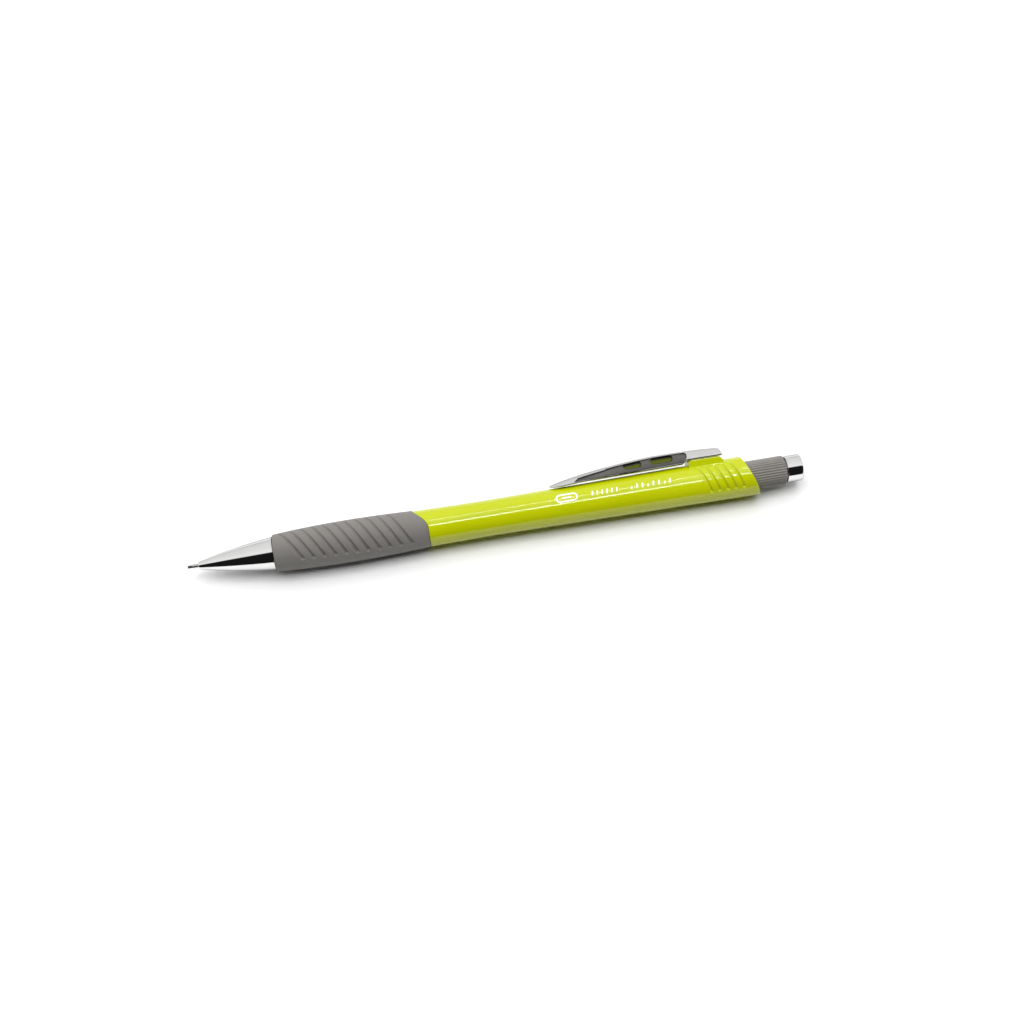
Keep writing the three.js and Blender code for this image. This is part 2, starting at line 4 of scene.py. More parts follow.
import bmesh
import bpy
import numpy as np
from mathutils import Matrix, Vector


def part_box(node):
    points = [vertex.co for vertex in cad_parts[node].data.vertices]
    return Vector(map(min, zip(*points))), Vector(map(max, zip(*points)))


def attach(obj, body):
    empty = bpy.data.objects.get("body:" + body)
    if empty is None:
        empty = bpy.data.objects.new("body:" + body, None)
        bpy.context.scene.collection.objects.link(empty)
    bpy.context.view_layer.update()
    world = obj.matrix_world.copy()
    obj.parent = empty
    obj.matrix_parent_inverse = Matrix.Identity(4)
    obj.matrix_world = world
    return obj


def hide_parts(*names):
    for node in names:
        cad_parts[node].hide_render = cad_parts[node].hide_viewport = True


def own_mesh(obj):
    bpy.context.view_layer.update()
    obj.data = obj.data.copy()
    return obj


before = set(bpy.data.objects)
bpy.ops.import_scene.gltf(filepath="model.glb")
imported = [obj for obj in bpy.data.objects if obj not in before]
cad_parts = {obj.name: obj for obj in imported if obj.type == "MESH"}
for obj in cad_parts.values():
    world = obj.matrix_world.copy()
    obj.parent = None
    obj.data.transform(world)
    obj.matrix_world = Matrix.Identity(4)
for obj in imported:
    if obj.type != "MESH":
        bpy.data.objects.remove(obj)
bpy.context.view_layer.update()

MM = 0.001
ROLL = math.radians(60)  # the clip leans back this far from upright

# ---- The pencil's own frame: x runs from the point to the button, z points at the clip ----

tube_low, tube_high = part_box("lead_tube")
AXIS_Y = (tube_low.y + tube_high.y) / 2
AXIS_Z = (tube_low.z + tube_high.z) / 2
TIP_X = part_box("writing_lead")[0].x


def to_frame(points):
    """Points in the pencil's millimetres as points in the frame's metres."""
    x, y, z = np.moveaxis(np.asarray(points, float), -1, 0)
    across = y * math.cos(ROLL) + z * math.sin(ROLL)
    up = z * math.cos(ROLL) - y * math.sin(ROLL)
    return np.stack((TIP_X + x * MM, AXIS_Y + across * MM, AXIS_Z + up * MM), -1)


def from_frame(points):
    """Points in the frame's metres as points in the pencil's millimetres."""
    x, across, up = np.moveaxis(np.asarray(points, float) - (TIP_X, AXIS_Y, AXIS_Z), -1, 0) / MM
    y = across * math.cos(ROLL) - up * math.sin(ROLL)
    z = across * math.sin(ROLL) + up * math.cos(ROLL)
    return np.stack((x, y, z), -1)


def span(node):
    """Where a node starts and ends along the pencil, in millimetres from the point."""
    low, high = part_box(node)
    return (low.x - TIP_X) / MM, (high.x - TIP_X) / MM


def reach(node):
    """Radius of a round node's flat sides, in millimetres."""
    low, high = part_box(node)
    return (high.z - low.z) / 2 / MM


# ---- Camera ----

CAMERA_ELEVATION = math.radians(65)
CAMERA_AZIMUTH = math.radians(-10.25)
CAMERA_DISTANCE = 0.3309
CAMERA_AIM = Vector((0.00314, -0.00103, AXIS_Z))


def make_camera():
    camera = bpy.data.objects.new("camera", bpy.data.cameras.new("camera"))
    bpy.context.scene.collection.objects.link(camera)
    camera.data.lens = 50
    camera.data.sensor_width = 36
    camera.data.clip_start = 0.01
    level = math.cos(CAMERA_ELEVATION)
    back = Vector((
        math.sin(CAMERA_AZIMUTH) * level,
        -math.cos(CAMERA_AZIMUTH) * level,
        math.sin(CAMERA_ELEVATION),
    ))
    camera.location = CAMERA_AIM + back * CAMERA_DISTANCE
    camera.rotation_mode = "QUATERNION"
    camera.rotation_quaternion = (-back).to_track_quat("-Z", "Y")
    bpy.context.scene.camera = camera


make_camera()

# ---- Materials ----


class Shader:
    """A Principled material whose nodes are added one at a time."""

    def __init__(self, name, colour, roughness, metallic=0.0):
        self.material = bpy.data.materials.new(name)
        self.material.use_nodes = True
        self.nodes = self.material.node_tree.nodes
        self.links = self.material.node_tree.links
        self.shader = self.nodes["Principled BSDF"]
        self.shader.inputs["Base Color"].default_value = (*colour, 1)
        self.shader.inputs["Roughness"].default_value = roughness
        self.shader.inputs["Metallic"].default_value = metallic
        self.place = self.nodes.new("ShaderNodeTexCoord").outputs["Object"]
        self.normal = None

    def noise(self, size, detail=2.0, stretch=(1, 1, 1)):
        """Noise with features of this size in metres, drawn out along the axes by stretch."""
        mapping = self.nodes.new("ShaderNodeMapping")
        mapping.inputs["Scale"].default_value = [1 / (size * s) for s in stretch]
        self.links.new(self.place, mapping.inputs["Vector"])
        texture = self.nodes.new("ShaderNodeTexNoise")
        texture.inputs["Scale"].default_value = 1
        texture.inputs["Detail"].default_value = detail
        self.links.new(mapping.outputs["Vector"], texture.inputs["Vector"])
        return texture.outputs["Fac"]

    def ranged(self, value, low, high, start=0.3, end=0.7):
        """The value taken from start..end to low..high."""
        node = self.nodes.new("ShaderNodeMapRange")
        node.inputs["From Min"].default_value = start
        node.inputs["From Max"].default_value = end
        node.inputs["To Min"].default_value = low
        node.inputs["To Max"].default_value = high
        self.links.new(value, node.inputs["Value"])
        return node.outputs["Result"]

    def colours(self, value, first, second):
        """Base colour between two colours by a value from 0 to 1."""
        mix = self.nodes.new("ShaderNodeMix")
        mix.data_type = "RGBA"
        mix.inputs["A"].default_value = (*first, 1)
        mix.inputs["B"].default_value = (*second, 1)
        self.links.new(value, mix.inputs["Factor"])
        self.links.new(mix.outputs["Result"], self.shader.inputs["Base Color"])

    def roughness(self, value, low, high):
        self.links.new(self.ranged(value, low, high), self.shader.inputs["Roughness"])

    def bump(self, value, height, strength=1.0):
        """Adds relief of this height in metres; a second call adds to the first."""
        node = self.nodes.new("ShaderNodeBump")
        node.inputs["Distance"].default_value = height
        node.inputs["Strength"].default_value = strength
        self.links.new(value, node.inputs["Height"])
        if self.normal is not None:
            self.links.new(self.normal, node.inputs["Normal"])
        self.normal = node.outputs["Normal"]
        self.links.new(self.normal, self.shader.inputs["Normal"])


def lime_plastic():
    """Glossy moulded plastic with a faint flow pattern and a little ripple in its surface."""
    lime = Shader("lime_plastic", (0.38, 0.425, 0.002), 0.09)
    flow = lime.noise(0.006, 3, (4, 1, 1))
    lime.colours(lime.ranged(flow, 0, 1), (0.367, 0.411, 0.001), (0.393, 0.439, 0.003))
    lime.roughness(lime.noise(0.0012, 4), 0.06, 0.13)
    lime.bump(lime.noise(0.0009, 2), 0.000004)
    lime.shader.inputs["IOR"].default_value = 1.5
    return lime.material


def grip_rubber():
    """Matt rubber with a fine grain and dull patches."""
    rubber = Shader("grip_rubber", (0.188, 0.18, 0.168), 0.72)
    grain = rubber.noise(0.00022, 3)
    patches = rubber.noise(0.003, 4)
    rubber.colours(rubber.ranged(patches, 0, 1), (0.18, 0.171, 0.16), (0.197, 0.188, 0.177))
    rubber.roughness(patches, 0.62, 0.82)
    rubber.bump(grain, 0.000018, 0.8)
    rubber.shader.inputs["Sheen Weight"].default_value = 0.06
    rubber.shader.inputs["Sheen Roughness"].default_value = 0.5
    return rubber.material


def grey_plastic():
    """Satin plastic, with fine lines left by the mould."""
    plastic = Shader("grey_plastic", (0.23, 0.219, 0.203), 0.45)
    patches = plastic.noise(0.002, 4)
    plastic.colours(plastic.ranged(patches, 0, 1), (0.215, 0.204, 0.188), (0.245, 0.234, 0.218))
    plastic.roughness(patches, 0.38, 0.55)
    plastic.bump(plastic.noise(0.00015, 2, (6, 1, 1)), 0.000006)
    return plastic.material


def plated(name, low, high, colour=(0.8, 0.797, 0.79), edge_tint=0.4):
    """Bright plating that is a little duller in places, and darker where it turns away."""
    metal = Shader(name, colour, (low + high) / 2, 1.0)
    metal.shader.inputs["Specular Tint"].default_value = (edge_tint, edge_tint, edge_tint, 1)
    wear = metal.noise(0.0025, 5)
    tint = [0.96 * c for c in colour]
    metal.colours(metal.ranged(wear, 0, 1), tint, colour)
    metal.roughness(metal.noise(0.0008, 4, (3, 1, 1)), low, high)
    metal.bump(metal.noise(0.002, 2), 0.0000008)
    return metal.material


def painted_shade_satin_plating():
    """The matt floor of the clip's recess: satin plating whose dark colour is painted shade."""
    metal = Shader("painted_shade_satin_plating", (0.19, 0.183, 0.173), 0.38, 0.9)
    grain = metal.noise(0.00016, 3)
    metal.colours(metal.ranged(metal.noise(0.002, 3), 0, 1), (0.175, 0.168, 0.158), (0.21, 0.202, 0.191))
    metal.roughness(grain, 0.34, 0.5)
    metal.bump(grain, 0.000006)
    return metal.material


def turned_metal(name, colour, roughness):
    """Bare metal with fine rings from the lathe."""
    metal = Shader(name, colour, roughness, 1.0)
    rings = metal.noise(0.00012, 2, (1, 30, 30))
    metal.roughness(rings, roughness * 0.7, roughness * 1.3)
    metal.colours(metal.ranged(metal.noise(0.001, 3), 0, 1), [0.92 * c for c in colour], colour)
    metal.bump(rings, 0.000002)
    return metal.material


def plain_plastic(name, colour, roughness, grain_height=0.000003):
    """Unpainted plastic or rubber with a slight mottle and grain."""
    plastic = Shader(name, colour, roughness)
    mottle = plastic.noise(0.0015, 4)
    plastic.colours(plastic.ranged(mottle, 0, 1), [0.9 * c for c in colour], colour)
    plastic.roughness(mottle, roughness * 0.85, min(1, roughness * 1.15))
    plastic.bump(plastic.noise(0.0002, 3), grain_height)
    return plastic.material


def graphite():
    """Polymer lead: dark grey with a dull metallic glint along it."""
    lead = Shader("graphite", (0.05, 0.05, 0.052), 0.42, 0.35)
    streaks = lead.noise(0.0001, 3, (12, 1, 1))
    lead.colours(lead.ranged(streaks, 0, 1), (0.035, 0.035, 0.037), (0.09, 0.09, 0.093))
    lead.roughness(streaks, 0.34, 0.55)
    lead.bump(streaks, 0.000004)
    return lead.material


MATERIALS = {
    "lime": lime_plastic(),
    "grip": grip_rubber(),
    "grey": grey_plastic(),
    "chrome": plated("chrome", 0.03, 0.09),
    "plated": plated("plated_plastic", 0.1, 0.2, (0.7, 0.695, 0.69)),
    # the clip recess's dark satin colour is painted shade
    "satin_painted_shade": painted_shade_satin_plating(),
    "steel": turned_metal("steel", (0.62, 0.61, 0.6), 0.2),
    "brass": turned_metal("brass", (0.72, 0.5, 0.2), 0.25),
    "graphite": graphite(),
    "natural": plain_plastic("natural_plastic", (0.78, 0.79, 0.74), 0.4),
    "rubber": plain_plastic("black_rubber", (0.02, 0.02, 0.021), 0.75, 0.000008),
    "eraser": plain_plastic("eraser", (0.72, 0.712, 0.69), 0.9, 0.000012),
    # a darker copy of the lime plastic, as painted shade inside the clip
    "lime_painted_shade": plain_plastic("lime_painted_shade", (0.15, 0.172, 0.02), 0.3),
    "ink": plain_plastic("white_ink", (0.92, 0.92, 0.9), 0.5),
}

# ---- Mesh helpers ----

SIDES = 144  # around a smooth turned piece


def polar(x, radius, angle):
    """Points round the pencil's axis, by their angle from the clip."""
    x, radius, angle = np.broadcast_arrays(x, radius, angle)
    return np.stack((x, radius * np.sin(angle), radius * np.cos(angle)), -1)


def grid_faces(rows, columns, closed):
    """Quads of a grid that is closed across its columns and, if asked, across its rows."""
    i, j = np.meshgrid(np.arange(rows if closed else rows - 1), np.arange(columns), indexing="ij")
    below, beside = (i + 1) % rows, (j + 1) % columns
    here, under = i * columns, below * columns
    quads = np.stack((here + j, here + beside, under + beside, under + j), -1)
    return quads.reshape(-1, 4).tolist()


def capped_faces(rows, columns):
    """Quads of a tube of rings with a flat face over each end."""
    last = (rows - 1) * columns
    ends = [list(range(columns)), list(range(last, last + columns))]
    return grid_faces(rows, columns, False) + ends


def add_object(name, points, faces, material, sharp=40):
    """A smooth shaded mesh from points in the pencil's frame, welded and facing out."""
    mesh = bpy.data.meshes.new(name)
    mesh.from_pydata(to_frame(points).reshape(-1, 3).tolist(), [], faces)
    work = bmesh.new()
    work.from_mesh(mesh)
    bmesh.ops.remove_doubles(work, verts=work.verts, dist=1e-8)
    bmesh.ops.dissolve_degenerate(work, edges=work.edges, dist=1e-9)
    bmesh.ops.recalc_face_normals(work, faces=work.faces)
    work.to_mesh(mesh)
    work.free()
    mesh.shade_smooth()
    mesh.set_sharp_from_angle(angle=math.radians(sharp))
    mesh.materials.append(MATERIALS[material])
    made = bpy.data.objects.new(name, mesh)
    bpy.context.scene.collection.objects.link(made)
    return made


def stand_in(made, body, node):
    """The piece takes a CAD node's place on its body."""
    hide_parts(node)
    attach(made, body)


def rounded(corners, steps=5):
    """A closed line through corners (x, radius, fillet), with each corner turned by an arc."""
    line = []
    points = [np.array(c[:2], float) for c in corners]
    for i, (x, radius, fillet) in enumerate(corners):
        corner = points[i]
        before = points[i - 1] - corner
        after = points[(i + 1) % len(points)] - corner
        if fillet == 0:
            line.append(corner)
            continue
        before /= np.linalg.norm(before)
        after /= np.linalg.norm(after)
        half = math.acos(np.clip(before @ after, -1, 1)) / 2
        middle = (before + after) / np.linalg.norm(before + after)
        centre = corner + middle * fillet / math.sin(half)
        first = corner + before * fillet / math.tan(half) - centre
        last = corner + after * fillet / math.tan(half) - centre
        for t in np.linspace(0, 1, steps):
            spoke = first * (1 - t) + last * t
            line.append(centre + spoke / np.linalg.norm(spoke) * fillet)
    return line


def turned(name, profile, material, sides=SIDES):
    """A solid of revolution. Its profile of (x, radius) is closed, or starts and ends on the axis."""
    profile = np.array(profile, float)
    angles = np.arange(sides) * 2 * math.pi / sides
    points = polar(profile[:, :1], profile[:, 1:], angles[None, :])
    closed = profile[0, 1] > 0
    return add_object(name, points, grid_faces(len(profile), sides, closed), material)


def wound(name, x, radius, angles, material, sharp=40):
    """A closed shell whose rows give x and radius at each angle."""
    points = polar(x, radius, angles[None, :])
    return add_object(name, points, grid_faces(len(x), len(angles), True), material, sharp)


def around_angles(*stops):
    """Angles round the whole body, mirrored about the clip. Each stop is (degrees reached, step)."""
    half = [0.0]
    for reached, step in stops:
        count = max(1, round((reached - half[-1]) / step))
        half.extend(np.linspace(half[-1], reached, count + 1)[1:])
    half = np.radians(half)
    return np.concatenate((half, -half[-2:0:-1]))


def spaced(stops):
    """Numbers from the first stop to the last; each later stop is (value reached, step)."""
    values = [stops[0]]
    for reached, step in stops[1:]:
        count = max(1, round((reached - values[-1]) / step))
        values.extend(np.linspace(values[-1], reached, count + 1)[1:])
    return np.array(values)


def smoothstep(value, start=0.0, end=1.0):
    t = np.clip((value - start) / (end - start), 0, 1)
    return t * t * (3 - 2 * t)


# ---- Slanted grooves, shared by the grip and the barrel ----


class Grooves:
    """Slanted grooves on both sides of a body, which widen and deepen on their way down.

    Each runs from the angle top to the angle bottom (degrees from the clip) and run millimetres back.
    creep is how much lower each one ends than the one before, and taper is its size at the top.
    """

    def __init__(self, count, pitch, start, run, top, bottom, creep, half_width, depth, taper):
        self.count, self.pitch, self.start, self.run = count, pitch, start, run
        self.top, self.bottom, self.creep = (math.radians(a) for a in (top, bottom, creep))
        self.half_width, self.depth, self.taper = half_width, depth, taper

    def lean(self, u, angle):
        """How far back a line of the mesh has run at an angle, so that lines follow the grooves."""
        bottom = self.bottom + self.creep * np.clip((u - self.start) / self.pitch, 0, self.count - 1)
        return self.run * np.clip((np.abs(angle) - self.top) / (bottom - self.top), 0, 1)

    def depths(self, x, angle, radius):
        total = np.zeros(np.broadcast(x, angle).shape)
        turn = np.abs(angle)
        for i in range(self.count):
            bottom = self.bottom + self.creep * i
            along = (turn - self.top) / (bottom - self.top)
            length = radius * (bottom - self.top)
            square = length / np.hypot(length, self.run)
            share = np.clip(along, 0, 1)
            across = (x - self.start - self.pitch * i - self.run * share) * square
            past = radius * (np.maximum(turn - bottom, 0) + np.maximum(self.top - turn, 0))
            size = self.taper + (1 - self.taper) * share
            off = np.hypot(across, past) / (self.half_width * size)
            total = np.maximum(total, self.depth * size * np.cos(np.minimum(off, 1) * math.pi / 2) ** 1.5)
        return total

    def rows(self, fine=0.07, coarse=0.3):
        """Row positions at the top of the grooves, close together in each groove."""
        margin = self.half_width + 0.05
        stops = [self.start - margin]
        for i in range(self.count):
            middle = self.start + self.pitch * i
            if i:
                stops.append((middle - margin, coarse))
            stops.append((middle + margin, fine))
        return spaced(stops)


def outside_rows(front, rear, grooves, before, after, angles):
    """The x of each row of an outside, by angle: straight rows at both ends that lean with the grooves."""
    u = grooves.rows()[:, None]
    middle = u + grooves.lean(u, angles)
    t = np.linspace(0, 1, before)[:-1, None]
    lead_in = front * (1 - t) + middle[:1] * t
    t = np.linspace(0, 1, after)[1:, None]
    lead_out = middle[-1:] * (1 - t) + rear * t
    return np.concatenate((lead_in, middle, lead_out))


# ---- Grip ----

GRIP_FRONT = span("grip")[0]
LIP_TIP = span("barrel")[0]  # the barrel's lip under the clip line
GRIP_RADIUS = reach("grip")
GRIP_CREST = 37
GRIP_FRONT_RADIUS = 4.26
GRIP_REAR_RADIUS = 4.38
GRIP_FRONT_EDGE = 0.3
GRIP_REAR_EDGE = 0.12
GRIP_BORE = 3.55
LIP_DEPTH = 3.1  # how far the lip stands back everywhere else
LIP_ANGLE = math.radians(85)
SEAM = 0.08

grip_grooves = Grooves(
    count=11, pitch=2.51, start=21.6, run=4.7,
    top=12, bottom=112, creep=1,
    half_width=0.62, depth=0.62, taper=0.42,
)


def lip_shift(angle):
    """How far the lip's edge stands back at an angle from the clip."""
    turn = np.minimum(np.abs(angle) / LIP_ANGLE, 1)
    return LIP_DEPTH * np.sin(turn * math.pi / 2) ** 2


def grip_radius(x):
    front_run = GRIP_CREST - GRIP_FRONT
    rear_run = LIP_TIP + LIP_DEPTH - GRIP_CREST
    front_drop = (GRIP_RADIUS - GRIP_FRONT_RADIUS) * ((GRIP_CREST - x) / front_run) ** 2
    rear_drop = (GRIP_RADIUS - GRIP_REAR_RADIUS) * ((x - GRIP_CREST) / rear_run) ** 2
    return GRIP_RADIUS - np.where(x < GRIP_CREST, front_drop, rear_drop)


def edge_rows(x, radius, edge, ends, steps=5):
    """Rows of a quarter round at one end of a shell. ends is -1 at the front and 1 at the rear."""
    turn = np.linspace(0, math.pi / 2, steps)[:, None]
    if ends < 0:
        turn = turn[::-1]
    return x - ends * edge * (1 - np.sin(turn)), radius - edge * (1 - np.cos(turn))


def make_grip():
    angles = around_angles((8, 2), (24, 1.6), (100, 2), (128, 0.9), (180, 4))
    edge, rear_edge = GRIP_FRONT_EDGE, GRIP_REAR_EDGE
    rear = LIP_TIP - SEAM + lip_shift(angles)
    x = outside_rows(GRIP_FRONT + edge, rear - rear_edge, grip_grooves, 7, 7, angles)
    radius = grip_radius(x) - grip_grooves.depths(x, angles, grip_radius(x))
    front_x, front_radius = edge_rows(GRIP_FRONT + 0 * angles, radius[:1], edge, -1)
    rear_x, rear_radius = edge_rows(rear, radius[-1:], rear_edge, 1)
    bore_x = np.stack((rear, GRIP_FRONT + 0 * angles))
    bore_radius = np.full_like(bore_x, GRIP_BORE)
    x = np.concatenate((front_x[:-1], x, rear_x[1:], bore_x))
    radius = np.concatenate((front_radius[:-1], radius, rear_radius[1:], bore_radius))
    stand_in(wound("grip_sleeve", x, radius, angles, "grip"), "barrel", "grip")


# ---- Barrel ----

BARREL_WAIST = 72
WAIST_RADIUS = 4.22
LIP_RADIUS = 4.39
BARREL_TAPER = 0.01
BARREL_EDGE = 0.14
BARREL_BORE = 3.4
REAR_BORE = 3.6
REAR_BORE_START = 118
CUT_MIDDLE = 132  # where the oblique rear cut crosses the axis
CUT_SLOPE = 0.374
BOSS_TOP = 5.8
BOSS_FRONT = 117.6
BOSS_REAR = 125.2
BOSS_FOOT = 126.4
BOSS_HALF_WIDTH = 2.3
BOSS_NOSE = 0.8  # length of the rounding at the boss's front
BOSS_NOSE_DROP = 0.14  # share of its height that the rounding takes off
BOSS_FOOT_HEIGHT = 4.2  # just under the barrel's skin, so that the boss fades into it
BOSS_EDGE = 0.12
BOSS_ROOT = 0.16

barrel_grooves = Grooves(
    count=5, pitch=1.92, start=119.6, run=2.2,
    top=38, bottom=113, creep=0,
    half_width=0.5, depth=0.4, taper=0.7,
)


def barrel_radius(x):
    t = np.clip((BARREL_WAIST - x) / (BARREL_WAIST - LIP_TIP - LIP_DEPTH), 0, 1)
    front = WAIST_RADIUS + (LIP_RADIUS - WAIST_RADIUS) * t**2
    return np.where(x > BARREL_WAIST, WAIST_RADIUS + BARREL_TAPER * (x - BARREL_WAIST), front)


def boss_radius(x, angle):
    """The raised pad that the clip's root stands on, as a radius, or 0 where there is none."""
    nose = np.clip((x - BOSS_FRONT) / BOSS_NOSE, 0, 1)
    height = BOSS_TOP * (1 - BOSS_NOSE_DROP + BOSS_NOSE_DROP * np.sqrt(1 - (1 - nose) ** 2))
    tail = np.clip((x - BOSS_REAR) / (BOSS_FOOT - BOSS_REAR), 0, 1)
    height = height - (BOSS_TOP - BOSS_FOOT_HEIGHT) * tail
    height = np.where((x < BOSS_FRONT) | (x > BOSS_FOOT), 0, height)
    top = height / np.maximum(np.cos(angle), 0.1)
    flank = BOSS_HALF_WIDTH / np.maximum(np.abs(np.sin(angle)), 1e-6)
    flank = np.where(np.cos(angle) > 0, flank, 0)
    blend = np.clip(0.5 + 0.5 * (flank - top) / BOSS_EDGE, 0, 1)
    return flank * (1 - blend) + top * blend - BOSS_EDGE * blend * (1 - blend)


def smooth_max(a, b, soft):
    blend = np.clip(0.5 + 0.5 * (a - b) / soft, 0, 1)
    return b * (1 - blend) + a * blend + soft * blend * (1 - blend)


def make_barrel():
    angles = around_angles((16, 2), (34, 0.75), (100, 2), (118, 1.2), (180, 4))
    edge = BARREL_EDGE
    front = LIP_TIP + lip_shift(angles)
    cut_radius = barrel_radius(np.array(CUT_MIDDLE))
    rear = CUT_MIDDLE - CUT_SLOPE * cut_radius * np.cos(angles)
    plain = spaced([front.max() + 1, (116.8, 3), (117.4, 0.3), (118.8, 0.09), (119.0, 0.1)])[:, None]
    x = outside_rows(plain[-1] + 0 * angles, rear - edge, barrel_grooves, 2, 14, angles)
    t = np.linspace(0, 1, 4)[:-1, None]
    lip = (front + edge) * (1 - t) + plain[:1] * t
    x = np.concatenate((lip, plain[:-1] + 0 * angles, x))
    base = barrel_radius(x) - barrel_grooves.depths(x, angles, barrel_radius(x))
    radius = smooth_max(base, boss_radius(x, angles), BOSS_ROOT)
    front_x, front_radius = edge_rows(front, radius[:1], edge, -1)
    rear_x, rear_radius = edge_rows(rear, radius[-1:], edge, 1)
    bore_x = np.stack((
        CUT_MIDDLE - CUT_SLOPE * REAR_BORE * np.cos(angles),
        np.full_like(angles, REAR_BORE_START),
        np.full_like(angles, REAR_BORE_START),
        front,
    ))
    bore_radius = np.array([REAR_BORE, REAR_BORE, BARREL_BORE, BARREL_BORE])[:, None] + 0 * angles
    x = np.concatenate((front_x[:-1], x, rear_x[1:], bore_x))
    radius = np.concatenate((front_radius[:-1], radius, rear_radius[1:], bore_radius))
    stand_in(wound("barrel_shell", x, radius, angles, "lime"), "barrel", "barrel")


# ---- Print: the outline of a pill and two rows of bars ----

PRINT_ANGLE = math.radians(-61)
INK_HEIGHT = 0.012
# Half a stroke's width taken as 1, against the height over the barrel's skin.
INK_SECTION = [
    (-1, -INK_HEIGHT),
    (-1, INK_HEIGHT),
    (-0.4, INK_HEIGHT),
    (0.4, INK_HEIGHT),
    (1, INK_HEIGHT),
    (1, -INK_HEIGHT),
]
PILL_MIDDLE = 88.1
PILL_HALF_LENGTH = 2.4
PILL_HALF_HEIGHT = 0.85
PILL_STROKE = 0.42
PILL_BAR_HALF = 1.1
BAR_HALF_HEIGHT = 0.6
BAR_SLANT = 0.25
SHORT_ROW = {"start": 94.0, "pitch": 1.15, "count": 6, "stroke": 0.34}
LONG_ROW = {"start": 103.2, "pitch": 1.3, "count": 8, "stroke": 0.4}
LOW_BAR_TOP = 0.1  # every third bar of the long row is cut off here


def stroke(name, line, width, closed=False):
    """A thin raised stroke of ink on the barrel, along a line of (x, height above PRINT_ANGLE)."""
    line = np.array(line, float)
    if closed:
        ahead, behind = np.roll(line, -1, 0), np.roll(line, 1, 0)
    else:
        ahead, behind = np.vstack((line[1:], line[-1:])), np.vstack((line[:1], line[:-1]))
    along = (ahead - behind) / np.linalg.norm(ahead - behind, axis=1, keepdims=True)
    side = np.stack((-along[:, 1], along[:, 0]), -1)
    half = np.full(len(line), width / 2)
    if not closed:
        run = np.concatenate(([0], np.cumsum(np.linalg.norm(np.diff(line, axis=0), axis=1))))
        near_end = np.minimum(run, run[-1] - run)
        half = np.sqrt(np.maximum(half**2 - np.maximum(half - near_end, 0) ** 2, 1e-4))
    points = []
    for across, lift in INK_SECTION:
        x, height = (line + side * (half * across)[:, None]).T
        base = barrel_radius(x)
        points.append(polar(x, base + lift, PRINT_ANGLE + height / base))
    points = np.stack(points, 1)
    rows, columns = points.shape[:2]
    faces = grid_faces(rows, columns, True) if closed else capped_faces(rows, columns)
    mark = add_object(name, points.reshape(-1, 3), faces, "ink", 50)
    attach(mark, "barrel")


def bar(name, start, end, width):
    """A straight stroke with round ends."""
    start, end = np.array(start, float), np.array(end, float)
    ease = (1 - np.cos(np.linspace(0, math.pi, 24))) / 2
    stroke(name, start + (end - start) * ease[:, None], width)


def make_print():
    turn = np.linspace(0, 2 * math.pi, 64, endpoint=False)
    straight = PILL_HALF_LENGTH - PILL_HALF_HEIGHT
    pill_x = PILL_MIDDLE + straight * np.sign(np.cos(turn)) + PILL_HALF_HEIGHT * np.cos(turn)
    outline = np.stack((pill_x, PILL_HALF_HEIGHT * np.sin(turn)), -1)
    stroke("print_pill", outline, PILL_STROKE, True)
    ends = [(PILL_MIDDLE - PILL_BAR_HALF, 0), (PILL_MIDDLE + PILL_BAR_HALF, 0)]
    bar("print_pill_bar", *ends, PILL_STROKE)
    for i in range(SHORT_ROW["count"]):
        x = SHORT_ROW["start"] + SHORT_ROW["pitch"] * i
        foot, head = (x, -BAR_HALF_HEIGHT), (x + BAR_SLANT, BAR_HALF_HEIGHT)
        bar(f"print_short_{i + 1}", foot, head, SHORT_ROW["stroke"])
    for i in range(LONG_ROW["count"]):
        x = LONG_ROW["start"] + LONG_ROW["pitch"] * i
        foot, head = (x, -BAR_HALF_HEIGHT), (x + BAR_SLANT, BAR_HALF_HEIGHT if i % 3 else LOW_BAR_TOP)
        bar(f"print_long_{i + 1}", foot, head, LONG_ROW["stroke"])


# ---- Nose ----

CONE_FRONT, COLLAR_REAR = span("nose_cone")
CONE_REAR = 19.8
CONE_FRONT_RADIUS = 0.88
CONE_REAR_RADIUS = 3.84
CONE_BOW = 0.3
CONE_FRONT_EDGE = 0.12
COLLAR_RADIUS = 2.97
THREAD_PITCH = 0.75
THREAD_DEPTH = 0.16
THREAD_ROOT = COLLAR_RADIUS - THREAD_DEPTH
THREAD_FADE = 0.5  # length over which the thread rises and dies away
THREAD_STEPS = 10  # rows to a turn
CHUCK_ROOM = (16.6, 2.55)  # each room in the cone: where it starts, and its radius
CLUTCH_ROOM = (13, 1.95)
NECK = (9.6, 1.62)
RETAINER_ROOM = (7.6, 1.45)
SLEEVE_HOLE = 0.56


def cone_radius(x):
    t = (x - CONE_FRONT) / (CONE_REAR - CONE_FRONT)
    straight = CONE_FRONT_RADIUS + (CONE_REAR_RADIUS - CONE_FRONT_RADIUS) * t
    return straight + 4 * CONE_BOW * t * (1 - t)


def cone_outside():
    """The cone's skin, from its front face to the neck before the thread, as (x, radius)."""
    front = cone_radius(CONE_FRONT)
    face = [(CONE_FRONT, front - CONE_FRONT_EDGE), (CONE_FRONT + 0.03, front - 0.04)]
    skin = [(x, cone_radius(x)) for x in np.linspace(CONE_FRONT + CONE_FRONT_EDGE, CONE_REAR - 0.1, 40)]
    rear = [
        (CONE_REAR - 0.03, CONE_REAR_RADIUS - 0.02),
        (CONE_REAR, CONE_REAR_RADIUS - 0.09),
        (CONE_REAR, THREAD_ROOT),
        (CONE_REAR + 0.6, THREAD_ROOT),
    ]
    return face + skin + rear


